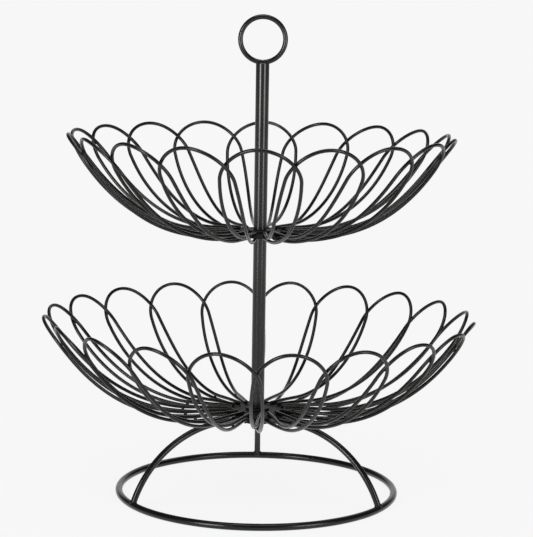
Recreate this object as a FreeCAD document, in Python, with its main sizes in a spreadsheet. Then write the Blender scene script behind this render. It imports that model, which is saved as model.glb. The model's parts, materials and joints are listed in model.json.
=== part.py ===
import FreeCAD, Part
import math
import os
import Sketcher

# A knock-down basket of two wire bowls on one post. The base is a foot ring with three arched legs and a
# hub. Each bowl is a wheel of overlapping wire petals welded to a hub disc. The post and the handle stem
# screw down on studs and clamp the discs. The origin is on the ground under the post, front is -Y.

sizes = {
    # Foot ring, legs and the hub that they carry
    "foot_ring_radius": 100.0,
    "foot_bar": 5.0,
    "foot_flat": 0.2,
    "leg_rear_angle": 90.0,
    "leg_rod": 4.5,
    "leg_level": 54.8,
    "leg_straight_reach": 26.0,
    "base_hub_radius": 10.0,
    "base_hub_height": 7.6,
    # Petal wire, its hub discs and the gaps that the wires keep
    "petal_wire": 2.5,
    "crossing_gap": 0.15,
    "tail_end_radius": 20.0,
    "hub_disc_radius": 28.0,
    "hub_disc": 1.5,
    "tail_spread_radius": 60.0,
    "leg_to_bowl_gap": 0.4,
    # Lower bowl
    "lower_petal_count": 20,
    "lower_first_angle": 9.0,
    "lower_rim_radius": 154.0,
    "lower_floor_radius": 47.5,
    "lower_depth": 70.4,
    "lower_crown_run": 15.0,
    "lower_petal_half_width": 24.3,
    "lower_tail_half_width": 1.0,
    # Upper bowl
    "upper_petal_count": 18,
    "upper_first_angle": 0.0,
    "upper_rim_radius": 137.0,
    "upper_floor_radius": 34.8,
    "upper_depth": 70.1,
    "upper_crown_run": 13.9,
    "upper_petal_half_width": 26.8,
    "upper_tail_half_width": 3.7,
    # Shape of every petal: how round the wall is, and how soon the shoulders turn in
    "wall_round_share": 0.7,
    "shoulder_share": 0.2,
    # Post, stem, the plugs pressed into them, and their M5 thread
    "tube_radius": 4.75,
    "tube_wall": 1.1,
    "post_length": 126.6,
    "stem_length": 118.5,
    "plug_length": 12.0,
    "stud_radius": 2.5,
    "thread_engagement": 9.0,
    "washer_radius": 8.5,
    "washer": 1.5,
    # Ring handle
    "handle_ring_radius": 15.9,
    "handle_wire": 3.5,
    "handle_saddle": 1.15,
    "handle_butt_gap": 0.4,
    # Fits and edges
    "running_clearance": 0.1,
    "thread_clearance": 0.05,
    "seat_gap": 0.05,
    "weld_gap": 0.05,
    "edge_break": 0.3,
}

# Heights that follow from the stack of pieces on the post, from the ground up.
levels = {
    "ring_level": "Sizes.foot_bar / 2 - Sizes.foot_flat",
    "lower_disc_bottom": "Sizes.leg_level + Sizes.leg_rod / 2 + Sizes.leg_to_bowl_gap + Sizes.petal_wire",
    "lower_floor": "lower_disc_bottom + Sizes.hub_disc / 2",
    "base_hub_top": "lower_disc_bottom - Sizes.seat_gap",
    "base_hub_bottom": "base_hub_top - Sizes.base_hub_height",
    "lower_washer_bottom": "lower_disc_bottom + Sizes.hub_disc + Sizes.seat_gap",
    "post_bottom": "lower_washer_bottom + Sizes.washer + Sizes.seat_gap",
    "post_top": "post_bottom + Sizes.post_length",
    "upper_disc_bottom": "post_top + Sizes.seat_gap",
    "upper_floor": "upper_disc_bottom + Sizes.hub_disc / 2",
    "upper_washer_bottom": "upper_disc_bottom + Sizes.hub_disc + Sizes.seat_gap",
    "stem_bottom": "upper_washer_bottom + Sizes.washer + Sizes.seat_gap",
    "stem_top": "stem_bottom + Sizes.stem_length",
    "handle_low": "stem_top - Sizes.handle_saddle + Sizes.handle_wire / 2",
    "handle_centre": "handle_low + Sizes.handle_ring_radius",
}

doc = FreeCAD.newDocument("TieredWireBasket")


def fill_sheet(name, cells, prefix):
    sheet = doc.addObject("Spreadsheet::Sheet", name)
    for row, (alias, text) in enumerate(cells.items(), start=1):
        sheet.set(f"A{row}", alias)
        sheet.set(f"B{row}", f"{prefix}{text}")
        sheet.setAlias(f"B{row}", alias)
    doc.recompute()
    return sheet


size_sheet = fill_sheet("Sizes", sizes, "")
level_sheet = fill_sheet("Levels", levels, "=")
size = size_sheet.get
level = level_sheet.get
vertical = FreeCAD.Vector(0, 0, 1)
nodes = []


# Bodies, sketches and their bound sizes


def new_body(label):
    body = doc.addObject("PartDesign::Body", label)
    body.Label = label
    nodes.append(body)
    return body


def new_sketch(body, name, plane_role, offset="0"):
    sketch = body.newObject("Sketcher::SketchObject", f"{body.Name}_{name}")
    plane = next(item for item in body.Origin.OriginFeatures if item.Role == plane_role)
    sketch.AttachmentSupport = [(plane, "")]
    sketch.MapMode = "FlatFace"
    sketch.setExpression("AttachmentOffset.Base.z", offset)
    return sketch


def bind(sketch, constraint, expression):
    index = sketch.addConstraint(constraint)
    sketch.setExpression(f"Constraints[{index}]", expression)


def value_of(expression):
    return float(size_sheet.evalExpression(expression))


def place_point(sketch, geometry, point, across, up):
    for kind, axis, expression in (("DistanceX", -2, across), ("DistanceY", -1, up)):
        if expression is None:
            sketch.addConstraint(Sketcher.Constraint("PointOnObject", geometry, point, axis))
        else:
            constraint = Sketcher.Constraint(kind, -1, 1, geometry, point, value_of(expression))
            bind(sketch, constraint, expression)


def add_circle(sketch, radius, across=None, up=None):
    centre = FreeCAD.Vector(value_of(across or "0"), value_of(up or "0"), 0)
    circle = sketch.addGeometry(Part.Circle(centre, vertical, value_of(radius)))
    bind(sketch, Sketcher.Constraint("Radius", circle, value_of(radius)), radius)
    place_point(sketch, circle, 3, across, up)


def add_rectangle_at_axis(sketch, right, low, high):
    corners = [("0", low), (right, low), (right, high), ("0", high)]
    points = [FreeCAD.Vector(value_of(across), value_of(up), 0) for across, up in corners]
    sides = [
        sketch.addGeometry(Part.LineSegment(start, end))
        for start, end in zip(points, points[1:] + points[:1])
    ]
    for side, following in zip(sides, sides[1:] + sides[:1]):
        sketch.addConstraint(Sketcher.Constraint("Coincident", side, 2, following, 1))
    for side, kind in zip(sides, ("Horizontal", "Vertical", "Horizontal", "Vertical")):
        sketch.addConstraint(Sketcher.Constraint(kind, side))
    place_point(sketch, sides[0], 1, None, low)
    place_point(sketch, sides[2], 1, right, high)


def cut_by_groove(body, sketch, axis):
    doc.recompute()
    before = body.Shape.Volume
    groove = body.newObject("PartDesign::Groove", f"{sketch.Name}_groove")
    groove.Profile = sketch
    groove.ReferenceAxis = (sketch, [axis])
    doc.recompute()
    if not body.Shape.Volume < before:
        raise RuntimeError(f"{groove.Name} cut nothing")


def add_disc(body, name, bottom, height, outer, bore=None):
    sketch = new_sketch(body, f"{name}_outline", "XY_Plane", bottom)
    add_circle(sketch, outer)
    if bore:
        add_circle(sketch, bore)
    pad = body.newObject("PartDesign::Pad", f"{body.Name}_{name}")
    pad.Profile = sketch
    pad.setExpression("Length", height)


def break_edges(body, outer):
    doc.recompute()
    base = body.Tip
    ends = (base.Shape.BoundBox.ZMin, base.Shape.BoundBox.ZMax)
    rims = [
        f"Edge{number}"
        for number, edge in enumerate(base.Shape.Edges, start=1)
        if isinstance(edge.Curve, Part.Circle)
        and math.isclose(edge.Curve.Radius, value_of(outer))
        and any(math.isclose(edge.Curve.Center.z, end) for end in ends)
    ]
    chamfer = body.newObject("PartDesign::Chamfer", f"{body.Name}_edges")
    chamfer.Base = (base, rims)
    chamfer.setExpression("Size", "Sizes.edge_break")


def round_part(label, bottom, height, outer, bore=None):
    body = new_body(label)
    add_disc(body, "disc", bottom, height, outer, bore)
    return body


# Base: foot ring with a narrow bearing flat, three legs, hub and stud


def make_foot_ring():
    body = new_body("foot_ring")
    sketch = new_sketch(body, "section", "XZ_Plane")
    centre = FreeCAD.Vector(size("foot_ring_radius"), level("ring_level"), 0)
    bar_radius = size("foot_bar") / 2
    half_flat = math.sqrt(bar_radius ** 2 - level("ring_level") ** 2)
    left = FreeCAD.Vector(centre.x - half_flat, 0, 0)
    right = FreeCAD.Vector(centre.x + half_flat, 0, 0)
    top = centre + FreeCAD.Vector(0, bar_radius, 0)
    bar = sketch.addGeometry(Part.Arc(right, top, left))
    flat = sketch.addGeometry(Part.LineSegment(left, right))
    sketch.addConstraint(Sketcher.Constraint("Coincident", bar, 2, flat, 1))
    sketch.addConstraint(Sketcher.Constraint("Coincident", flat, 2, bar, 1))
    sketch.addConstraint(Sketcher.Constraint("PointOnObject", flat, 1, -1))
    sketch.addConstraint(Sketcher.Constraint("PointOnObject", flat, 2, -1))
    bind(sketch, Sketcher.Constraint("Radius", bar, bar_radius), "Sizes.foot_bar / 2")
    place_point(sketch, bar, 3, "Sizes.foot_ring_radius", "Levels.ring_level")
    ring = body.newObject("PartDesign::Revolution", "foot_ring_bar")
    ring.Profile = sketch
    ring.ReferenceAxis = (sketch, ["V_Axis"])


def draw_leg_path(sketch):
    inner = FreeCAD.Vector(size("stud_radius"), size("leg_level"), 0)
    bend = FreeCAD.Vector(size("leg_straight_reach"), size("leg_level"), 0)
    foot = FreeCAD.Vector(size("foot_ring_radius"), level("ring_level"), 0)
    run = foot.x - bend.x
    drop = bend.y - foot.y
    radius = (run ** 2 + drop ** 2) / (2 * drop)
    centre = bend - FreeCAD.Vector(0, radius, 0)
    foot_angle = math.atan2(foot.y - centre.y, run)
    circle = Part.Circle(centre, vertical, radius)
    line = sketch.addGeometry(Part.LineSegment(inner, bend))
    arc = sketch.addGeometry(Part.ArcOfCircle(circle, foot_angle, math.pi / 2))
    sketch.addConstraint(Sketcher.Constraint("Horizontal", line))
    sketch.addConstraint(Sketcher.Constraint("Tangent", line, 2, arc, 2))
    place_point(sketch, line, 1, "Sizes.stud_radius", "Sizes.leg_level")
    bind(sketch, Sketcher.Constraint("DistanceX", -1, 1, line, 2, bend.x), "Sizes.leg_straight_reach")
    place_point(sketch, arc, 1, "Sizes.foot_ring_radius", "Levels.ring_level")


def make_leg(label, angle):
    body = new_body(label)
    path = new_sketch(body, "path", "XZ_Plane")
    draw_leg_path(path)
    section = new_sketch(body, "section", "YZ_Plane", "Sizes.stud_radius")
    add_circle(section, "Sizes.leg_rod / 2", None, "Sizes.leg_level")
    doc.recompute()
    rod = body.newObject("PartDesign::AdditivePipe", f"{label}_rod")
    rod.Profile = section
    rod.Spine = (path, ["Edge1", "Edge2"])
    # The ends are coped to the bar of the foot ring and to the side of the hub.
    copes = new_sketch(body, "copes", "XZ_Plane")
    foot_bar = "Sizes.foot_bar / 2 + Sizes.weld_gap"
    add_circle(copes, foot_bar, "Sizes.foot_ring_radius", "Levels.ring_level")
    add_rectangle_at_axis(
        copes,
        "Sizes.base_hub_radius + Sizes.weld_gap",
        "Sizes.leg_level - Sizes.leg_rod",
        "Sizes.leg_level + Sizes.leg_rod",
    )
    cut_by_groove(body, copes, "V_Axis")
    body.Placement.Rotation = FreeCAD.Rotation(vertical, 0)
    body.setExpression("Placement.Rotation.Angle", angle)


def make_base():
    make_foot_ring()
    leg_labels = ("leg_rear", "leg_front_left", "leg_front_right")
    for place, label in enumerate(leg_labels):
        make_leg(label, f"(Sizes.leg_rear_angle + {place} * 360 / {len(leg_labels)}) * 1 deg")
    hub_radius = "Sizes.base_hub_radius"
    hub = round_part(
        "base_hub", "Levels.base_hub_bottom", "Sizes.base_hub_height", hub_radius, "Sizes.stud_radius"
    )
    break_edges(hub, hub_radius)
    stud_height = "Levels.post_bottom + Sizes.thread_engagement - Levels.base_hub_bottom"
    stud = round_part("base_stud", "Levels.base_hub_bottom", stud_height, "Sizes.stud_radius")
    break_edges(stud, "Sizes.stud_radius")


# Petals: one wire that rises from the hub disc, loops over the rim and comes back


def smooth_step(share):
    share = min(max(share, 0), 1)
    return share * share * (3 - 2 * share)


def round_off(share):
    return share * (3 - share * share) / 2


class Petal:
    def __init__(self, bowl):
        self.rim = size(f"{bowl}_rim_radius")
        self.floor_radius = size(f"{bowl}_floor_radius")
        self.depth = size(f"{bowl}_depth")
        self.floor = level(f"{bowl}_floor")
        self.crown_run = size(f"{bowl}_crown_run")
        self.half_width = size(f"{bowl}_petal_half_width")
        self.tail_half_width = size(f"{bowl}_tail_half_width")
        self.shoulder_radius = self.rim - self.crown_run
        self.wall_lift = (size("petal_wire") + size("crossing_gap")) / 2
        self.tail_lift = (size("petal_wire") + size("hub_disc")) / 2 + size("weld_gap")

    def on_wall(self, radius, half_width, lift):
        # The wall is flat up to the floor radius, then bends up ever more steeply to the rim.
        span = self.rim - self.floor_radius
        share = max(radius - self.floor_radius, 0) / span
        bend = size("wall_round_share")
        height = self.floor + self.depth * (bend * share ** 2 + (1 - bend) * share ** 4)
        slope = math.atan(self.depth / span * (2 * bend * share + 4 * (1 - bend) * share ** 3))
        around = half_width / radius
        outward = radius + lift * math.sin(slope)
        return FreeCAD.Vector(
            outward * math.sin(around),
            -outward * math.cos(around),
            height - lift * math.cos(slope),
        )

    def point(self, turn):
        # Turn runs from -2 at the left tail over 0 at the top of the loop to 2 at the right tail.
        side = math.copysign(1, turn)
        if abs(turn) <= 1:
            swing = turn * math.pi / 2
            radius = self.rim - self.crown_run * (1 - math.cos(swing))
            half_width = self.half_width * math.sin(swing)
            lift = self.wall_lift * round_off(round_off(math.sin(swing)))
            return self.on_wall(radius, half_width, lift)
        down = abs(turn) - 1
        ease = size("shoulder_share")
        drawn_in = (math.hypot(down, ease) - ease) / (math.hypot(1, ease) - ease)
        radius = self.shoulder_radius + (size("tail_end_radius") - self.shoulder_radius) * down
        half_width = self.half_width + (self.tail_half_width - self.half_width) * drawn_in
        spread_run = size("tail_spread_radius") - size("hub_disc_radius") - size("petal_wire")
        spread = smooth_step((size("tail_spread_radius") - radius) / spread_run)
        lift = self.wall_lift + (self.tail_lift - self.wall_lift) * spread
        return self.on_wall(radius, side * half_width, side * lift)

    def heading(self, turn):
        step = 1e-4
        return (self.point(turn + step) - self.point(turn - step)).normalize()


def arc_edge(start, heading, end):
    chord = end - start
    along = chord / chord.Length
    bulge = heading - along * heading.dot(along)
    middle = (start + end) / 2 + bulge * (chord.Length / 2 / (1 + heading.dot(along)))
    return Part.Arc(start, middle, end).toShape()


def biarc_edges(start, start_heading, end, end_heading):
    # Two arcs that leave and arrive along the given headings and meet in one tangent.
    chord = end - start
    both = start_heading + end_heading
    bend = 2 * (1 - start_heading.dot(end_heading))
    reach = chord.dot(both)
    length = (math.sqrt(reach ** 2 + bend * chord.dot(chord)) - reach) / bend
    joint = (start + end + (start_heading - end_heading) * length) / 2
    second = arc_edge(end, end_heading * -1, joint)
    return [arc_edge(start, start_heading, joint), second]


def petal_path(bowl):
    petal = Petal(bowl)
    crown_steps = 5
    leg_steps = 9
    half = [step / crown_steps for step in range(crown_steps)]
    half += [1 + step / leg_steps for step in range(leg_steps + 1)]
    turns = [-turn for turn in reversed(half[1:])] + half
    edges = []
    for first, second in zip(turns, turns[1:]):
        edges += biarc_edges(
            petal.point(first), petal.heading(first), petal.point(second), petal.heading(second)
        )
    path = doc.addObject("Part::Feature", f"{bowl}_petal_path")
    path.Shape = Part.Wire(Part.sortEdges(edges)[0])
    section = doc.addObject("Part::Circle", f"{bowl}_petal_section")
    section.setExpression("Radius", "Sizes.petal_wire / 2")
    facing = FreeCAD.Rotation(vertical, petal.heading(turns[0]))
    section.Placement = FreeCAD.Placement(petal.point(turns[0]), facing)
    return path, section


def make_bowl(bowl):
    bore = "Sizes.stud_radius + Sizes.running_clearance"
    disc_radius = "Sizes.hub_disc_radius"
    disc = round_part(f"{bowl}_hub", f"Levels.{bowl}_disc_bottom", "Sizes.hub_disc", disc_radius, bore)
    break_edges(disc, disc_radius)
    path, section = petal_path(bowl)
    for place in range(int(size(f"{bowl}_petal_count"))):
        petal = doc.addObject("Part::Sweep", f"{bowl}_petal_{place + 1:02d}")
        petal.Sections = [section]
        petal.Spine = (path, [f"Edge{number + 1}" for number in range(len(path.Shape.Edges))])
        petal.Solid = True
        petal.Placement.Rotation = FreeCAD.Rotation(vertical, 0)
        petal.setExpression(
            "Placement.Rotation.Angle",
            f"(Sizes.{bowl}_first_angle + {place} * 360 / Sizes.{bowl}_petal_count) * 1 deg",
        )
        nodes.append(petal)
    rim = "Sizes.washer_radius"
    washer = round_part(f"{bowl}_washer", f"Levels.{bowl}_washer_bottom", "Sizes.washer", rim, bore)
    break_edges(washer, rim)


# Post and handle: tubes with plugs pressed into their ends


def make_tube(label, bottom, length):
    tube = round_part(label, bottom, length, "Sizes.tube_radius", "Sizes.tube_radius - Sizes.tube_wall")
    break_edges(tube, "Sizes.tube_radius")
    return tube


def make_nut(label, bottom):
    thread = "Sizes.stud_radius + Sizes.thread_clearance"
    round_part(label, bottom, "Sizes.plug_length", "Sizes.tube_radius - Sizes.tube_wall", thread)


def make_post():
    make_tube("post_tube", "Levels.post_bottom", "Sizes.post_length")
    make_nut("post_nut", "Levels.post_bottom")
    stud = new_body("post_stud")
    plug_radius = "Sizes.tube_radius - Sizes.tube_wall"
    add_disc(stud, "plug", "Levels.post_top - Sizes.plug_length", "Sizes.plug_length", plug_radius)
    thread_height = "Levels.stem_bottom + Sizes.thread_engagement - Levels.post_top"
    add_disc(stud, "thread", "Levels.post_top", thread_height, "Sizes.stud_radius")
    break_edges(stud, "Sizes.stud_radius")


def cut_saddle(body):
    # A hollow across the top of the stem that takes the lowest stretch of the ring.
    sketch = new_sketch(body, "saddle", "YZ_Plane")
    add_circle(sketch, "Sizes.handle_wire / 2 + Sizes.weld_gap", None, "Levels.handle_low")
    centre = level("handle_centre")
    reach = FreeCAD.Vector(size("tube_radius"), 0, 0)
    middle = FreeCAD.Vector(0, centre, 0)
    axis = sketch.addGeometry(Part.LineSegment(middle - reach, middle + reach), True)
    sketch.addConstraint(Sketcher.Constraint("Horizontal", axis))
    bind(sketch, Sketcher.Constraint("DistanceY", -1, 1, axis, 1, centre), "Levels.handle_centre")
    cut_by_groove(body, sketch, "Axis0")


def make_handle():
    stem = make_tube("stem_tube", "Levels.stem_bottom", "Sizes.stem_length")
    make_nut("stem_nut", "Levels.stem_bottom")
    plug_radius = "Sizes.tube_radius - Sizes.tube_wall"
    plug = round_part("stem_plug", "Levels.stem_top - Sizes.plug_length", "Sizes.plug_length", plug_radius)
    cut_saddle(stem)
    cut_saddle(plug)
    ring = doc.addObject("Part::Torus", "handle_ring")
    ring.setExpression("Radius1", "Sizes.handle_ring_radius")
    ring.setExpression("Radius2", "Sizes.handle_wire / 2")
    # The ends of the bent wire butt at the bottom, over the stem.
    butt_angle = "Sizes.handle_butt_gap / Sizes.handle_ring_radius * 180 / pi"
    ring.setExpression("Angle3", f"(360 - {butt_angle}) * 1 deg")
    upright = FreeCAD.Rotation(FreeCAD.Vector(1, 0, 0), 90)
    butt_down = FreeCAD.Rotation(FreeCAD.Vector(0, 1, 0), 90 - value_of(butt_angle) / 2)
    ring.Placement.Rotation = butt_down * upright
    ring.setExpression("Placement.Base.z", "Levels.handle_centre")
    nodes.append(ring)


def check_document():
    doc.recompute()
    for item in doc.Objects:
        if "Invalid" in item.State or "Error" in item.State:
            raise RuntimeError(f"{item.Name} failed: {item.State}")
    for node in nodes:
        if node.Shape.isNull() or not node.Shape.isValid() or len(node.Shape.Solids) != 1:
            raise RuntimeError(f"{node.Label} is not one valid solid")


make_base()
make_bowl("lower")
make_post()
make_bowl("upper")
make_handle()
check_document()
os.makedirs("parts", exist_ok=True)
for node in nodes:
    node.Shape.exportStep(f"parts/{node.Label}.step")
print(len(nodes), "nodes written")
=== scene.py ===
import json
import math
import bmesh
import bpy
from mathutils import Matrix, Vector, kdtree


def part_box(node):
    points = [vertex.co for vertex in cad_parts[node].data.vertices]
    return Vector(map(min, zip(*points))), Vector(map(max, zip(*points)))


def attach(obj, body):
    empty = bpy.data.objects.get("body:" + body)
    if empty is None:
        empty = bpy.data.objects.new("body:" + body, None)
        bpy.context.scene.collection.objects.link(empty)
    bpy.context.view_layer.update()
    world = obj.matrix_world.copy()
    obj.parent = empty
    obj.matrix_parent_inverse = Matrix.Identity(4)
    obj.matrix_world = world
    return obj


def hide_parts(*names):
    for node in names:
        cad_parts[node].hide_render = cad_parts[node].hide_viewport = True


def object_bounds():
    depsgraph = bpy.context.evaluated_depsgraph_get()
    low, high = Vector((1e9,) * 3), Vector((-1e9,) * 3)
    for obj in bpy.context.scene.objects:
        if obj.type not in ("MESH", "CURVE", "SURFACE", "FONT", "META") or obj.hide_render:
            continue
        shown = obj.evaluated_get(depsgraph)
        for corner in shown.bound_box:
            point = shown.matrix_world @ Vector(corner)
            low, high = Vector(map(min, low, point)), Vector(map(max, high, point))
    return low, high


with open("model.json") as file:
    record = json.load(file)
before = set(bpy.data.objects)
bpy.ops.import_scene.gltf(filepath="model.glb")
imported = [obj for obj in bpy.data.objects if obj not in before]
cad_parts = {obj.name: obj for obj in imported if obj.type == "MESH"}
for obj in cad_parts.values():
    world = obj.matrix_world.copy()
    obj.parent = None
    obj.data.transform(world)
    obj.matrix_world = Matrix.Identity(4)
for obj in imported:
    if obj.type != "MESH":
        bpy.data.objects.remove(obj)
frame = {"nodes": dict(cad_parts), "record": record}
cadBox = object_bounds()
nodes = frame["nodes"]
scene = bpy.context.scene
mm = 0.001
upward = Vector((0, 0, 1))


def boxMiddle(name):
    low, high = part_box(name)
    return (low + high) / 2


# Node trees, for finishes and for shapes

class Flow:  # one socket of a tree, so that sums of sockets read as sums
    def __init__(self, graph, socket):
        self.graph = graph
        self.socket = socket

    def combined(self, operation, first, second):
        return self.graph.node("ShaderNodeMath", {"operation": operation}, {0: first, 1: second})

    def __add__(self, other):
        return self.combined("ADD", self, other)

    def __radd__(self, other):
        return self.combined("ADD", other, self)

    def __sub__(self, other):
        return self.combined("SUBTRACT", self, other)

    def __rsub__(self, other):
        return self.combined("SUBTRACT", other, self)

    def __mul__(self, other):
        return self.combined("MULTIPLY", self, other)

    def __rmul__(self, other):
        return self.combined("MULTIPLY", other, self)

    def __truediv__(self, other):
        return self.combined("DIVIDE", self, other)

    def __rtruediv__(self, other):
        return self.combined("DIVIDE", other, self)

    def __pow__(self, other):
        return self.combined("POWER", self, other)


class Graph:  # a tree that grows by one call for each node
    def __init__(self, tree):
        self.tree = tree

    def node(self, kind, settings=None, sockets=None, output=0):
        made = self.tree.nodes.new(kind)
        for name, value in (settings or {}).items():
            setattr(made, name, value)
        for key, value in (sockets or {}).items():
            links = value if isinstance(value, list) else [value]
            for link in links:
                if isinstance(link, Flow):
                    self.tree.links.new(link.socket, made.inputs[key])
                else:
                    made.inputs[key].default_value = link
        return Flow(self, made.outputs[output]) if made.outputs else None


# Black coat: satin, finely dimpled, with cloudy gloss and the draw lines of the steel under it

def startFinish(name):
    material = bpy.data.materials.new(name)
    material.use_nodes = True
    material.node_tree.nodes.clear()
    graph = Graph(material.node_tree)
    place = graph.node("ShaderNodeTexCoord", output="Object")
    return material, graph, place


noiseMiddle = 0.5  # a noise swings about this value


def speckle(graph, place, scale, detail=2.0):
    return graph.node("ShaderNodeTexNoise", None, {"Vector": place, "Scale": scale, "Detail": detail})


def straightLines(graph, place, coat):
    drawn = graph.node("ShaderNodeMapping", None, {"Vector": place, "Scale": coat["lineStretch"]})
    return speckle(graph, drawn, coat["lineScale"])


def ringLines(graph, place, coat):
    # Lines that run round a ring of bent bar: fine across the bar, slow along it.
    settings = {"vector_type": "TEXTURE"}
    sockets = {"Vector": place, "Location": coat["centre"], "Rotation": coat["turn"]}
    local = graph.node("ShaderNodeMapping", settings, sockets)
    across = graph.node("ShaderNodeSeparateXYZ", None, {"Vector": local}, "X")
    along = graph.node("ShaderNodeSeparateXYZ", None, {"Vector": local}, "Y")
    height = graph.node("ShaderNodeSeparateXYZ", None, {"Vector": local}, "Z")
    flat = graph.node("ShaderNodeCombineXYZ", None, {"X": across, "Y": along})
    reach = graph.node("ShaderNodeVectorMath", {"operation": "LENGTH"}, {0: flat}, "Value")
    angle = graph.node("ShaderNodeMath", {"operation": "ARCTAN2"}, {0: across, 1: along})
    unrolled = {"X": reach, "Y": height, "Z": angle * coat["lineDrift"]}
    return speckle(graph, graph.node("ShaderNodeCombineXYZ", None, unrolled), coat["lineScale"])


def wireLines(graph, place, coat):
    # Lines along a swept wire, from the place in its section and the length travelled.
    grain = graph.node("ShaderNodeAttribute", {"attribute_name": "grain"}, None, "Vector")
    return speckle(graph, grain, coat["lineScale"])


def mixedTone(graph, share, tone, paleTone):
    sockets = {0: share, 6: tone, 7: paleTone}  # a Mix node's colours go by number
    return graph.node("ShaderNodeMix", {"data_type": "RGBA"}, sockets, 2)


def endFinish(graph, surface):
    shader = graph.node("ShaderNodeBsdfPrincipled", None, surface)
    graph.node("ShaderNodeOutputMaterial", None, {"Surface": shader})


def coatFinish(name, coat, drawLines=straightLines):
    material, graph, place = startFinish(name)
    cloud = speckle(graph, place, coat["cloudScale"], coat["cloudDetail"])
    dimples = speckle(graph, place, coat["dimpleScale"])
    lines = drawLines(graph, place, coat)
    cloudGloss = (cloud - noiseMiddle) * coat["cloudiness"]
    lineGloss = (lines - noiseMiddle) * coat["lineGloss"]
    height = dimples + lines * coat["lineShare"]
    bump = graph.node("ShaderNodeBump", None, {"Distance": coat["dimpleHeight"], "Height": height})
    surface = {
        "Base Color": mixedTone(graph, cloud, coat["tone"], coat["paleTone"]),
        "Roughness": coat["roughness"] + cloudGloss + lineGloss,
        "Normal": bump,
        "Specular IOR Level": coat["sheen"],
    }
    endFinish(graph, surface)
    return material


satinCoat = {
    "tone": (0.0030, 0.0028, 0.0023, 1),
    "paleTone": (0.0062, 0.0058, 0.0048, 1),
    "roughness": 0.24,
    "sheen": 0.36,
    "cloudScale": 70.0,
    "cloudDetail": 3.0,
    "cloudiness": 0.16,
    "dimpleScale": 2200.0,
    "dimpleHeight": 0.0018 * mm,
    "lineScale": 1.0,
    "lineStretch": (900.0, 900.0, 30.0),
    "lineGloss": 0.06,
    "lineShare": 0.2,
}
footCoat = {
    **satinCoat,
    "centre": boxMiddle("foot_ring"),
    "turn": (0, 0, 0),
    "lineScale": 1500.0,
    "lineDrift": 2 * mm,
}
handleCoat = {
    **footCoat,
    "centre": boxMiddle("handle_ring"),
    "turn": (-math.pi / 2, 0, 0),
    "sheen": 0.5,
    "lineGloss": 0.3,
    "lineShare": 0.9,
}
wireCoat = {**satinCoat, "lineScale": 2400.0}
tubeCoat = {
    **satinCoat,
    "roughness": 0.2,
    "sheen": 0.5,
    "cloudiness": 0.08,
    "dimpleHeight": 0.0005 * mm,
    "lineStretch": (1400.0, 1400.0, 8.0),
}
plateCoat = {
    **satinCoat,
    "roughness": 0.55,
    "sheen": 0.22,
    "dimpleScale": 700.0,
    "dimpleHeight": 0.015 * mm,
}
weldCoat = {
    **satinCoat,
    "roughness": 0.42,
    "dimpleScale": 1600.0,
    "dimpleHeight": 0.05 * mm,
}


# Bright zinc on the studs and plugs

brightZinc = {
    "tone": (0.55, 0.55, 0.53, 1),
    "paleTone": (0.68, 0.68, 0.67, 1),
    "roughness": 0.3,
    "cloudScale": 260.0,
    "cloudDetail": 3.0,
    "cloudiness": 0.2,
    "grainScale": 2600.0,
    "grainHeight": 0.01 * mm,
}


def zincFinish(name, zinc):
    material, graph, place = startFinish(name)
    cloud = speckle(graph, place, zinc["cloudScale"], zinc["cloudDetail"])
    grain = speckle(graph, place, zinc["grainScale"])
    bump = graph.node("ShaderNodeBump", None, {"Distance": zinc["grainHeight"], "Height": grain})
    surface = {
        "Base Color": mixedTone(graph, cloud, zinc["tone"], zinc["paleTone"]),
        "Roughness": zinc["roughness"] + (cloud - noiseMiddle) * zinc["cloudiness"],
        "Normal": bump,
        "Metallic": 1.0,
    }
    endFinish(graph, surface)
    return material


slotFinishes = {
    "black_wire": coatFinish("wireSatin", wireCoat, wireLines),
    "black_bar": coatFinish("legSatin", satinCoat),
    "black_tube": coatFinish("tubeSatin", tubeCoat),
    "black_plate": coatFinish("plateSatin", plateCoat),
    "zinc_steel": zincFinish("brightZinc", brightZinc),
}
nodeFinishes = {
    "foot_ring": coatFinish("footRingSatin", footCoat, ringLines),
    "handle_ring": coatFinish("handleSatin", handleCoat, ringLines),
}
weldSatin = coatFinish("weldSatin", weldCoat)
for row in frame["record"]["subparts"]:
    finish = nodeFinishes.get(row["node"], slotFinishes[row["material_slot"]])
    for slot in nodes[row["node"]].material_slots:
        slot.material = finish
print("finishes:", len(slotFinishes), "by slot,", len(nodeFinishes), "by node")


# Geometry Nodes: each tree has named inputs and ends in a plain mesh

def startTree(name, inputs):
    tree = bpy.data.node_groups.new(name, "GeometryNodeTree")
    tree.interface.new_socket("Path", in_out="INPUT", socket_type="NodeSocketGeometry")
    tree.interface.new_socket("Shape", in_out="OUTPUT", socket_type="NodeSocketGeometry")
    for label, kind in inputs.items():
        tree.interface.new_socket(label, in_out="INPUT", socket_type=f"NodeSocket{kind}")
    tree.interface.new_socket("Finish", in_out="INPUT", socket_type="NodeSocketMaterial")
    graph = Graph(tree)
    entry = tree.nodes.new("NodeGroupInput")
    given = {socket.name: Flow(graph, socket) for socket in entry.outputs if socket.name}
    return graph, given


def endTree(graph, given, shape):
    real = graph.node("GeometryNodeRealizeInstances", None, {"Geometry": shape})
    coated = {"Geometry": real, "Material": given["Finish"]}
    painted = graph.node("GeometryNodeSetMaterial", None, coated)
    graph.node("NodeGroupOutput", None, {0: painted})
    return graph.tree


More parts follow.
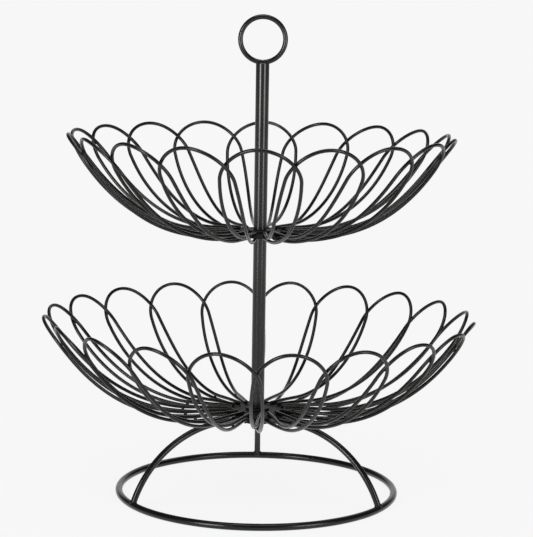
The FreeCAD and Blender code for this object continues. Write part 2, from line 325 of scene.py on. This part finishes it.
def growPiece(name, tree, values, body, path=None):
    holder = bpy.data.objects.new(name + "_tree", path or bpy.data.meshes.new(name + "_seed"))
    scene.collection.objects.link(holder)
    modifier = holder.modifiers.new("grow", "NODES")
    modifier.node_group = tree
    for item in tree.interface.items_tree:
        if item.name in values:
            modifier[item.identifier] = values[item.name]
    view = bpy.context.evaluated_depsgraph_get()
    mesh = bpy.data.meshes.new_from_object(holder.evaluated_get(view), depsgraph=view)
    holder.modifiers.remove(modifier)
    bpy.data.objects.remove(holder)
    mesh.name = name
    piece = bpy.data.objects.new(name, mesh)
    scene.collection.objects.link(piece)
    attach(piece, body)
    print("piece:", name, len(mesh.polygons), "faces on", body)
    return piece


def dotRingTree():
    # A ring of small weld dots, each turned outwards, with uneven size and a lumpy skin.
    counts = ("Count", "Seed", "Roundness")
    sizes = ("Ring Radius", "Height", "First Angle", "Uneven", "Lump", "Lump Scale")
    inputs = {"Dot Size": "Vector", **dict.fromkeys(counts, "Int"), **dict.fromkeys(sizes, "Float")}
    graph, given = startTree("weldDots", inputs)
    ringSize = {"Vertices": given["Count"], "Radius": given["Ring Radius"]}
    ring = graph.node("GeometryNodeMeshCircle", None, ringSize)
    lift = graph.node("ShaderNodeCombineXYZ", None, {"Z": given["Height"]})
    turn = graph.node("ShaderNodeCombineXYZ", None, {"Z": given["First Angle"]})
    moved = {"Geometry": ring, "Translation": lift, "Rotation": turn}
    points = graph.node("GeometryNodeTransform", None, moved)
    spot = graph.node("GeometryNodeInputPosition")
    level = graph.node("ShaderNodeVectorMath", {"operation": "MULTIPLY"}, {0: spot, 1: (1, 1, 0)})
    turned = {"axis": "X", "pivot_axis": "Z"}
    facing = graph.node("FunctionNodeAlignRotationToVector", turned, {"Vector": level})
    swing = {2: 1 - given["Uneven"], 3: 1 + given["Uneven"], "Seed": given["Seed"]}
    growth = graph.node("FunctionNodeRandomValue", {"data_type": "FLOAT"}, swing, 1)
    scaled = {0: given["Dot Size"], "Scale": growth}
    size = graph.node("ShaderNodeVectorMath", {"operation": "SCALE"}, scaled)
    ball = {"Radius": 1.0, "Subdivisions": given["Roundness"]}
    dot = graph.node("GeometryNodeMeshIcoSphere", None, ball)
    placed = {"Points": points, "Instance": dot, "Rotation": facing, "Scale": size}
    dots = graph.node("GeometryNodeInstanceOnPoints", None, placed)
    real = graph.node("GeometryNodeRealizeInstances", None, {"Geometry": dots})
    rough = speckle(graph, spot, given["Lump Scale"]) - noiseMiddle
    outward = graph.node("GeometryNodeInputNormal")
    shift = {0: outward, "Scale": rough * given["Lump"]}
    offset = graph.node("ShaderNodeVectorMath", {"operation": "SCALE"}, shift)
    lumpy = graph.node("GeometryNodeSetPosition", None, {"Geometry": real, "Offset": offset})
    smooth = graph.node("GeometryNodeSetShadeSmooth", None, {"Geometry": lumpy})
    return endTree(graph, given, smooth)


def seamTree():
    # A weld bead along a path: a round section that swells at each ripple.
    sizes = ("Bead Radius", "Ripple", "Ripple Pitch")
    inputs = {"Ripple Steps": "Int", "Sides": "Int", **dict.fromkeys(sizes, "Float")}
    graph, given = startTree("weldSeam", inputs)
    line = graph.node("GeometryNodeMeshToCurve", None, {"Mesh": given["Path"]})
    step = given["Ripple Pitch"] / given["Ripple Steps"]
    fine = graph.node("GeometryNodeResampleCurve", {"mode": "LENGTH"}, {"Curve": line, "Length": step})
    travelled = graph.node("GeometryNodeSplineParameter", None, None, "Length")
    phase = travelled / given["Ripple Pitch"] * (2 * math.pi)
    wave = graph.node("ShaderNodeMath", {"operation": "SINE"}, {0: phase})
    section = {"Radius": given["Bead Radius"], "Resolution": given["Sides"]}
    profile = graph.node("GeometryNodeCurvePrimitiveCircle", None, section)
    swell = 1 + wave * given["Ripple"]
    swept = {"Curve": fine, "Profile Curve": profile, "Scale": swell, "Fill Caps": True}
    bead = graph.node("GeometryNodeCurveToMesh", None, swept)
    smooth = graph.node("GeometryNodeSetShadeSmooth", None, {"Geometry": bead})
    return endTree(graph, given, smooth)


def studTree():
    # A screw: plain shank, then a core with a ridge wound round it, right-handed, and a chamfered tip.
    places = ("Bottom", "Shank Radius", "Shank Length", "Thread Radius", "Thread Length")
    sizes = places + ("Pitch", "Depth", "Tip Inset")
    inputs = {"Sides": "Int", "Ridge Sides": "Int", **dict.fromkeys(sizes, "Float")}
    graph, given = startTree("threadedStud", inputs)
    sides = given["Sides"]
    shankTop = given["Bottom"] + given["Shank Length"]
    coreRadius = given["Thread Radius"] - given["Depth"]

    def raised(shape, height):
        lift = graph.node("ShaderNodeCombineXYZ", None, {"Z": height})
        return graph.node("GeometryNodeTransform", None, {"Geometry": shape, "Translation": lift})

    shankSize = {"Vertices": sides, "Radius": given["Shank Radius"], "Depth": given["Shank Length"]}
    shank = graph.node("GeometryNodeMeshCylinder", None, shankSize)
    coreLength = given["Thread Length"] - given["Depth"]
    coreSize = {"Vertices": sides, "Radius": coreRadius, "Depth": coreLength}
    core = graph.node("GeometryNodeMeshCylinder", None, coreSize)
    inset = given["Depth"] * given["Tip Inset"]  # the tip sinks a little into the core
    tipSize = {
        "Vertices": sides,
        "Radius Bottom": coreRadius - inset,
        "Radius Top": coreRadius - given["Depth"],
        "Depth": given["Depth"],
    }
    tip = graph.node("GeometryNodeMeshCone", None, tipSize)
    windLength = coreLength - given["Pitch"]
    wound = {
        "Resolution": sides,
        "Rotations": windLength / given["Pitch"],
        "Start Radius": coreRadius,
        "End Radius": coreRadius,
        "Height": windLength,
        "Reverse": False,
    }
    helix = graph.node("GeometryNodeCurveSpiral", None, wound)
    upright = graph.node("GeometryNodeSetCurveNormal", {"mode": "Z_UP"}, {"Curve": helix})
    ridgeSize = {"Radius": given["Depth"], "Resolution": given["Ridge Sides"]}
    ridge = graph.node("GeometryNodeCurvePrimitiveCircle", None, ridgeSize)
    swept = {"Curve": upright, "Profile Curve": ridge, "Fill Caps": True}
    thread = graph.node("GeometryNodeCurveToMesh", None, swept)
    parts = [
        raised(shank, given["Bottom"] + given["Shank Length"] / 2),
        raised(core, shankTop + coreLength / 2),
        raised(tip, shankTop + coreLength - inset),
        raised(thread, shankTop + given["Pitch"] / 2),
    ]
    return endTree(graph, given, graph.node("GeometryNodeJoinGeometry", None, {0: parts}))


dotRings = dotRingTree()
seams = seamTree()
studs = studTree()


# Bowls: each loop is one wire laid on a curved wall by a rule, and repeated round the post

wireRule = {
    "Wire Radius": 1.25 * mm,
    "Wall Lift": 1.325 * mm,  # half of what two crossing wires need
    "Tail Lift": 2.05 * mm,  # from the middle of the disc to a tail on its face
    "Tail End": 20 * mm,
    "Spread Start": 60 * mm,
    "Spread End": 30.5 * mm,
    "Wall Round Share": 0.7,
    "Shoulder Share": 0.2,
    "Line Drift": 0.03,
    "Steps": 121,
    "Sides": 12,
    "Finish": slotFinishes["black_wire"],
}
bowls = {
    "lower": {
        **wireRule,
        "First Angle": math.radians(9),
        "Rim Radius": 154 * mm,
        "Floor Radius": 47.5 * mm,
        "Depth": 70.4 * mm,
        "Crown Run": 15 * mm,
        "Half Width": 24.3 * mm,
        "Tail Half Width": 1 * mm,
    },
    "upper": {
        **wireRule,
        "First Angle": 0.0,
        "Rim Radius": 137 * mm,
        "Floor Radius": 34.8 * mm,
        "Depth": 70.1 * mm,
        "Crown Run": 13.9 * mm,
        "Half Width": 26.8 * mm,
        "Tail Half Width": 3.7 * mm,
    },
}


def loopPoint(graph, given):
    # The turn is 0 at the top of the loop and grows along both tails, negative on the left.
    crownTurn = 1  # where the crown passes into a tail
    tailTurn = 2  # where a tail ends

    def maths(operation, first, second=0.0):
        return graph.node("ShaderNodeMath", {"operation": operation}, {0: first, 1: second})

    def roundOff(share):
        return share * (3 - share * share) / 2

    turn = graph.node("GeometryNodeInputIndex") / (given["Steps"] - 1) * (2 * tailTurn) - tailTurn
    side = maths("SIGN", turn)
    swing = maths("MINIMUM", maths("MAXIMUM", turn, -crownTurn), crownTurn) * (math.pi / 2)
    swell = maths("SINE", swing)
    down = maths("MAXIMUM", maths("ABSOLUTE", turn) - crownTurn, 0)

    shoulder = given["Rim Radius"] - given["Crown Run"]
    fall = given["Crown Run"] * (1 - maths("COSINE", swing)) + (shoulder - given["Tail End"]) * down
    radius = given["Rim Radius"] - fall
    ease = given["Shoulder Share"]
    reach = maths("SQRT", down * down + ease * ease) - ease
    drawnIn = reach / (maths("SQRT", 1 + ease * ease) - ease)
    narrowing = side * (given["Tail Half Width"] - given["Half Width"]) * drawnIn
    width = given["Half Width"] * swell + narrowing
    limits = {"Value": radius, "From Min": given["Spread Start"], "From Max": given["Spread End"]}
    spread = graph.node("ShaderNodeMapRange", {"interpolation_type": "SMOOTHSTEP"}, limits)
    parting = side * (given["Tail Lift"] - given["Wall Lift"]) * spread
    lift = given["Wall Lift"] * roundOff(roundOff(swell)) + parting

    # The wall is flat up to the floor radius, then bends up ever more steeply to the rim.
    span = given["Rim Radius"] - given["Floor Radius"]
    share = maths("MAXIMUM", radius - given["Floor Radius"], 0) / span
    bend = given["Wall Round Share"]
    height = given["Floor"] + given["Depth"] * (bend * share ** 2 + (1 - bend) * share ** 4)
    slope = given["Depth"] / span * (bend * share * 2 + (1 - bend) * share ** 3 * 4)
    steep = maths("SQRT", 1 + slope * slope)
    outward = radius + lift * slope / steep
    around = width / radius
    across = outward * maths("SINE", around)
    forward = 0 - outward * maths("COSINE", around)
    point = {"X": across, "Y": forward, "Z": height - lift / steep}
    return graph.node("ShaderNodeCombineXYZ", None, point)


def loopTree():
    shapes = [label for label, value in bowls["lower"].items() if isinstance(value, float)]
    counts = ("Loops", "Steps", "Sides")
    inputs = {**dict.fromkeys(counts, "Int"), **dict.fromkeys(shapes + ["Floor"], "Float")}
    graph, given = startTree("petalLoops", inputs)
    line = graph.node("GeometryNodeMeshLine", None, {"Count": given["Steps"]})
    laid = {"Geometry": line, "Position": loopPoint(graph, given)}
    bent = graph.node("GeometryNodeSetPosition", None, laid)
    path = graph.node("GeometryNodeMeshToCurve", None, {"Mesh": bent})

    def keep(shape, name, value):
        settings = {"data_type": "FLOAT_VECTOR", "domain": "POINT"}
        sockets = {"Geometry": shape, "Name": name, "Value": value}
        return graph.node("GeometryNodeStoreNamedAttribute", settings, sockets)

    def kept(name):
        settings = {"data_type": "FLOAT_VECTOR"}
        return graph.node("GeometryNodeInputNamedAttribute", settings, {"Name": name})

    ring = {"Radius": given["Wire Radius"], "Resolution": given["Sides"]}
    profile = graph.node("GeometryNodeCurvePrimitiveCircle", None, ring)
    profile = keep(profile, "section", graph.node("GeometryNodeInputPosition"))
    travelled = graph.node("GeometryNodeSplineParameter", None, None, "Length") * given["Line Drift"]
    drawn = graph.node("ShaderNodeCombineXYZ", None, {"Z": travelled})
    path = keep(path, "travelled", drawn)
    swept = {"Curve": path, "Profile Curve": profile, "Fill Caps": True}
    wire = graph.node("GeometryNodeCurveToMesh", None, swept)
    both = {0: kept("section"), 1: kept("travelled")}
    grain = graph.node("ShaderNodeVectorMath", {"operation": "ADD"}, both)
    wire = keep(wire, "grain", grain)
    wire = graph.node("GeometryNodeSetShadeSmooth", None, {"Geometry": wire})
    places = graph.node("GeometryNodePoints", None, {"Count": given["Loops"]})
    further = graph.node("GeometryNodeInputIndex") * (2 * math.pi) / given["Loops"]
    turned = graph.node("ShaderNodeCombineXYZ", None, {"Z": given["First Angle"] + further})
    placed = {"Points": places, "Instance": wire, "Rotation": turned}
    return endTree(graph, given, graph.node("GeometryNodeInstanceOnPoints", None, placed))


def petalsOf(bowl):
    return [name for name in nodes if name.startswith(f"{bowl}_petal")]


loops = loopTree()
for bowl, rule in bowls.items():
    petals = petalsOf(bowl)
    values = {**rule, "Loops": len(petals), "Floor": boxMiddle(f"{bowl}_hub").z}
    piece = growPiece(f"{bowl}_loops", loops, values, f"{bowl}_bowl")
    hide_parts(*petals)


# Weld dots: where neighbouring loops cross, and where their tails end on the hub discs

weldDot = {"Lump": 0.5 * mm, "Roundness": 2, "Finish": weldSatin}
crossingDots = {
    **weldDot,
    "touch": 0.5 * mm,  # wires nearer than this cross
    "split": 8 * mm,  # crossings differ by more than this in height
    "firstSeed": 0,
    "Dot Size": (1.15 * mm, 1.15 * mm, 1.35 * mm),
    "Uneven": 0.12,
    "Lump Scale": 900.0,
}
tailDots = {
    **weldDot,
    "endLength": 1 * mm,
    "firstSeed": 5,
    "Dot Size": (1.5 * mm, 1.3 * mm, 1.0 * mm),
    "Uneven": 0.15,
    "Lump Scale": 800.0,
}
bowlSeeds = {"lower": 0, "upper": 10}


def middle(points):
    return sum(points, Vector()) / len(points)


def ringPlace(point):
    # A place on a ring round the post, as the dot tree's inputs.
    return {
        "Ring Radius": math.hypot(point.x, point.y),
        "Height": point.z,
        "First Angle": math.atan2(point.y, point.x),
    }


def crossingsOf(bowl):
    # Neighbouring loops nearly touch where they cross: the near points fall into groups by height.
    first = nodes[f"{bowl}_petal_01"].data.vertices
    second = nodes[f"{bowl}_petal_02"].data.vertices
    finder = kdtree.KDTree(len(second))
    for index, vertex in enumerate(second):
        finder.insert(vertex.co, index)
    finder.balance()
    near = []
    for vertex in first:
        found, index, gap = finder.find(vertex.co)
        if gap < crossingDots["touch"]:
            near.append((vertex.co + found) / 2)
    near.sort(key=lambda point: point.z)
    groups = [[near[0]]]
    for lower, upper in zip(near, near[1:]):
        if upper.z - lower.z > crossingDots["split"]:
            groups.append([])
        groups[-1].append(upper)
    return [middle(group) for group in groups]


def tailEnds(bowl):
    # The inner ends of one loop's two tails, one on each face of the disc.
    discLevel = boxMiddle(f"{bowl}_hub").z
    places = [vertex.co for vertex in nodes[f"{bowl}_petal_01"].data.vertices]
    ends = []
    for onTop in (True, False):
        side = [place for place in places if (place.z > discLevel) == onTop]
        reach = min(math.hypot(place.x, place.y) for place in side) + tailDots["endLength"]
        ends.append(middle([place for place in side if math.hypot(place.x, place.y) < reach]))
    return ends


for bowl, bowlSeed in bowlSeeds.items():
    count = len(petalsOf(bowl))
    for number, place in enumerate(crossingsOf(bowl)):
        seed = bowlSeed + crossingDots["firstSeed"] + number
        values = {**crossingDots, **ringPlace(place), "Count": count, "Seed": seed}
        growPiece(f"{bowl}_crossing_welds_{number + 1}", dotRings, values, f"{bowl}_bowl")
    for face, place in zip(("top", "under"), tailEnds(bowl)):
        seed = bowlSeed + tailDots["firstSeed"]
        values = {**tailDots, **ringPlace(place), "Count": count, "Seed": seed}
        growPiece(f"{bowl}_tail_welds_{face}", dotRings, values, f"{bowl}_bowl")


# Weld seams: legs on the foot ring, legs on the hub, ring handle on the stem and its butted ends

weldBead = {
    "Ripple": 0.12,
    "Ripple Pitch": 1.1 * mm,
    "Ripple Steps": 6,
    "Sides": 10,
    "Finish": weldSatin,
}
legSeam = {
    **weldBead,
    "barRadius": 2.5 * mm,  # of the foot ring
    "bendReach": 26 * mm,  # from the post's axis to where the leg starts to bend
    "searchReach": 8 * mm,
    "exactness": 0.001 * mm,
    "steps": 48,
    "Bead Radius": 0.75 * mm,
}
hubSeam = {**weldBead, "steps": 48, "Bead Radius": 0.7 * mm}
handleSeam = {
    **weldBead,
    "widthShare": 0.95,
    "steps": 24,
    "Bead Radius": 0.55 * mm,
    "Ripple Pitch": 0.9 * mm,
}
buttSeam = {
    **weldBead,
    "sunk": 0.9 * mm,  # leaves a groove between the ends
    "steps": 32,
    "Bead Radius": 0.36 * mm,
    "Ripple": 0.05,
}


def pathMesh(name, lines, closed=True):
    mesh = bpy.data.meshes.new(name)
    points = []
    edges = []
    for line in lines:
        start = len(points)
        points += line
        edges += [(start + index, start + index + 1) for index in range(len(line) - 1)]
        if closed:
            edges.append((start + len(line) - 1, start))
    mesh.from_pydata(points, edges, [])
    return mesh


def turns(steps):
    return [2 * math.pi * step / steps for step in range(steps)]


def legDirections():
    centres = [boxMiddle(name) for name in nodes if name.startswith("leg_")]
    return [Vector((centre.x, centre.y, 0)).normalized() for centre in centres]


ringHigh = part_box("foot_ring")[1]
legLow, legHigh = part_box("leg_rear")
handleLow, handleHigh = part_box("handle_ring")
rodRadius = (legHigh.x - legLow.x) / 2
legLevel = legHigh.z - rodRadius
footRadius = ringHigh.x - legSeam["barRadius"]
footLevel = ringHigh.z - legSeam["barRadius"]


def footSeamLoop(outward):
    # Where the leg's rod meets the bar of the foot ring, found on each line of the rod's surface.
    run = footRadius - legSeam["bendReach"]
    drop = legLevel - footLevel
    bendRadius = (run ** 2 + drop ** 2) / (2 * drop)
    climb = (outward * (drop - bendRadius) + upward * run).normalized()
    sideways = upward.cross(outward)
    inward = climb.cross(sideways)
    foot = outward * footRadius + upward * footLevel
    loop = []
    for turn in turns(legSeam["steps"]):
        start = foot + (sideways * math.cos(turn) + inward * math.sin(turn)) * rodRadius
        inside = 0.0
        outside = legSeam["searchReach"]
        while outside - inside > legSeam["exactness"]:
            half = (inside + outside) / 2
            point = start + climb * half
            away = math.hypot(math.hypot(point.x, point.y) - footRadius, point.z - footLevel)
            if away < legSeam["barRadius"]:
                inside = half
            else:
                outside = half
        loop.append(start + climb * inside)
    return loop


def hubSeamLoop(outward):
    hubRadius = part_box("base_hub")[1].x
    sideways = upward.cross(outward)
    loop = []
    for turn in turns(hubSeam["steps"]):
        offset = rodRadius * math.cos(turn)
        reach = math.sqrt(hubRadius ** 2 - offset ** 2)
        level = legLevel + rodRadius * math.sin(turn)
        loop.append(outward * reach + sideways * offset + upward * level)
    return loop


def handleSeamLine(face):
    # Along the ring's wire where it sinks into the top of the stem, in front or behind.
    centre = boxMiddle("handle_ring")
    wireRadius = handleHigh.y
    ringRadius = handleHigh.x - wireRadius
    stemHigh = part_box("stem_tube")[1]
    lean = math.asin(stemHigh.x / ringRadius) * handleSeam["widthShare"]
    line = []
    for step in range(handleSeam["steps"] + 1):
        swing = lean * (2 * step / handleSeam["steps"] - 1)
        sunk = centre.z - ringRadius * math.cos(swing) - stemHigh.z
        bulge = math.sqrt(wireRadius ** 2 - sunk ** 2)
        line.append(Vector((ringRadius * math.sin(swing), face * bulge, stemHigh.z)))
    return line


def buttSeamLoop():
    # Round the gap between the ring's two ends, a little under the skin of the wire.
    wireRadius = handleHigh.y
    bottom = Vector((0, 0, handleLow.z + wireRadius))
    reach = wireRadius - buttSeam["sunk"]
    loop = []
    for turn in turns(buttSeam["steps"]):
        loop.append(bottom + Vector((0, math.cos(turn), math.sin(turn))) * reach)
    return loop


directions = legDirections()
footLoops = pathMesh("footSeamPath", [footSeamLoop(direction) for direction in directions])
hubLoops = pathMesh("hubSeamPath", [hubSeamLoop(direction) for direction in directions])
handleLines = pathMesh("handleSeamPath", [handleSeamLine(face) for face in (-1, 1)], closed=False)
buttLoop = pathMesh("buttSeamPath", [buttSeamLoop()])
growPiece("foot_ring_welds", seams, legSeam, "base", footLoops)
growPiece("hub_welds", seams, hubSeam, "base", hubLoops)
growPiece("handle_welds", seams, handleSeam, "handle", handleLines)
growPiece("handle_butt_weld", seams, buttSeam, "handle", buttLoop)


# Studs: M5 threads that show when the post or the stem is unscrewed

studThread = {
    "Pitch": 0.8 * mm,
    "Depth": 0.42 * mm,
    "Tip Inset": 0.1,
    "Sides": 24,
    "Ridge Sides": 4,
    "Finish": slotFinishes["zinc_steel"],
}


def makeStud(node, body, shankTop, threadRadius):
    low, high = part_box(node)
    values = {
        **studThread,
        "Bottom": low.z,
        "Shank Radius": high.x,
        "Shank Length": shankTop - low.z,
        "Thread Radius": threadRadius,
        "Thread Length": high.z - shankTop,
    }
    piece = growPiece(f"{node}_thread", studs, values, body)
    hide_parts(node)


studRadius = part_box("base_stud")[1].x
makeStud("base_stud", "base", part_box("base_hub")[1].z, studRadius)
makeStud("post_stud", "post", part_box("post_tube")[1].z, studRadius)


# Studio: white paper under and behind that keeps the shadow, two tall strips and soft fill

studio = {
    "paper": (0.93, 0.93, 0.93, 1),
    "nearPaper": (0.965, 0.965, 0.965, 1),
    "floorTone": (0.85, 0.85, 0.85, 1),
    "floorRadius": 6.0,
    "floorSides": 96,
    "paperShare": 0.9,  # near the basket the rest of the floor is lit, and keeps the shadow
    "shadowReach": 0.15,
    "shadowEnd": 0.5,
    "ambient": 0.27,
    "roomShare": 0.08,  # what a reflection sees of the dim room
    "sweepEdge": 0.75,  # how far back the white paper begins in a reflection
    "sweepFull": 0.97,
}


def ray(graph, kind):
    return graph.node("ShaderNodeLightPath", None, None, f"Is {kind} Ray")


def makeFloor():
    material, graph, place = startFinish("paperFloor")
    reach = graph.node("ShaderNodeVectorMath", {"operation": "LENGTH"}, {0: place}, "Value")
    limits = {"Value": reach, "From Min": studio["shadowReach"], "From Max": studio["shadowEnd"]}
    far = graph.node("ShaderNodeMapRange", {"interpolation_type": "SMOOTHSTEP"}, limits)
    lit = graph.node("ShaderNodeBsdfDiffuse", None, {"Color": studio["floorTone"]})
    shade = mixedTone(graph, far, studio["nearPaper"], studio["paper"])
    paper = graph.node("ShaderNodeEmission", None, {"Color": shade})
    seen = ray(graph, "Camera") + ray(graph, "Glossy") + ray(graph, "Transmission")
    share = seen * (studio["paperShare"] + far * (1 - studio["paperShare"]))
    mixed = graph.node("ShaderNodeMixShader", None, {0: share, 1: lit, 2: paper})
    graph.node("ShaderNodeOutputMaterial", None, {"Surface": mixed})
    mesh = bpy.data.meshes.new("floor")
    shape = bmesh.new()
    sides = studio["floorSides"]
    bmesh.ops.create_circle(shape, cap_ends=True, segments=sides, radius=studio["floorRadius"])
    shape.to_mesh(mesh)
    shape.free()
    mesh.materials.append(material)
    floor = bpy.data.objects.new("floor", mesh)
    scene.collection.objects.link(floor)


def makeWorld():
    scene.world = bpy.data.worlds.new("studio")
    scene.world.use_nodes = True
    scene.world.node_tree.nodes.clear()
    graph = Graph(scene.world.node_tree)
    direction = graph.node("ShaderNodeTexCoord", output="Generated")
    behind = graph.node("ShaderNodeSeparateXYZ", None, {"Vector": direction}, "Y")
    limits = {
        "Value": behind,
        "From Min": studio["sweepEdge"],
        "From Max": studio["sweepFull"],
        "To Min": studio["roomShare"],
    }
    sweep = graph.node("ShaderNodeMapRange", {"interpolation_type": "SMOOTHSTEP"}, limits)
    mirrored = ray(graph, "Glossy") + ray(graph, "Transmission")
    ambient = studio["ambient"]
    strength = ambient + ray(graph, "Camera") * (1 - ambient) + mirrored * (sweep - ambient)
    sky = graph.node("ShaderNodeBackground", None, {"Color": studio["paper"], "Strength": strength})
    graph.node("ShaderNodeOutputWorld", None, {"Surface": sky})


# Azimuth 0 is the camera's side. A lamp's power follows from its size and radiance.
lamps = {
    "leftStrip": {"azimuth": -36, "elevation": 9, "distance": 1.6, "size": (0.5, 0.8), "radiance": 11.5},
    "rightStrip": {"azimuth": 42, "elevation": 9, "distance": 1.6, "size": (0.6, 0.8), "radiance": 6.4},
    "overhead": {"azimuth": 0, "elevation": 80, "distance": 1.5, "size": (1.0, 1.0), "radiance": 2.6},
    "backBox": {"azimuth": 160, "elevation": 40, "distance": 1.8, "size": (0.6, 0.6), "radiance": 2.0},
}


def makeLamp(name, lamp):
    azimuth = math.radians(lamp["azimuth"])
    elevation = math.radians(lamp["elevation"])
    flat = Vector((math.sin(azimuth), -math.cos(azimuth), 0))
    toLamp = flat * math.cos(elevation) + upward * math.sin(elevation)
    data = bpy.data.lights.new(name, "AREA")
    data.shape = "RECTANGLE"
    data.size, data.size_y = lamp["size"]
    data.energy = lamp["radiance"] * math.pi * data.size * data.size_y
    light = bpy.data.objects.new(name, data)
    light.location = (cadBox[0] + cadBox[1]) / 2 + toLamp * lamp["distance"]
    light.rotation_euler = (-toLamp).to_track_quat("-Z", "Y").to_euler()
    light.visible_camera = False
    scene.collection.objects.link(light)


# The photograph's camera, fitted to the foot ring, the rims and the ring handle

photoCamera = {
    "place": (0.00497, -1.3, 0.3546),
    "pitch": 8.31,  # degrees down from level
    "roll": 0.9,
    "focal": 123.64,  # millimetres, as the sensor's width is
    "sensor": 36.0,
}


def makeCamera():
    data = bpy.data.cameras.new("photoCamera")
    data.sensor_fit = "HORIZONTAL"
    data.sensor_width = photoCamera["sensor"]
    data.lens = photoCamera["focal"]
    camera = bpy.data.objects.new("photoCamera", data)
    level = Matrix.Rotation(math.radians(90 - photoCamera["pitch"]), 4, "X")
    roll = Matrix.Rotation(math.radians(photoCamera["roll"]), 4, "Z")
    camera.matrix_world = Matrix.Translation(photoCamera["place"]) @ level @ roll
    scene.collection.objects.link(camera)
    scene.camera = camera


makeFloor()
makeWorld()
for name, lamp in lamps.items():
    makeLamp(name, lamp)
makeCamera()
scene.view_settings.view_transform = "Standard"
print("studio:", len(lamps), "lamps")
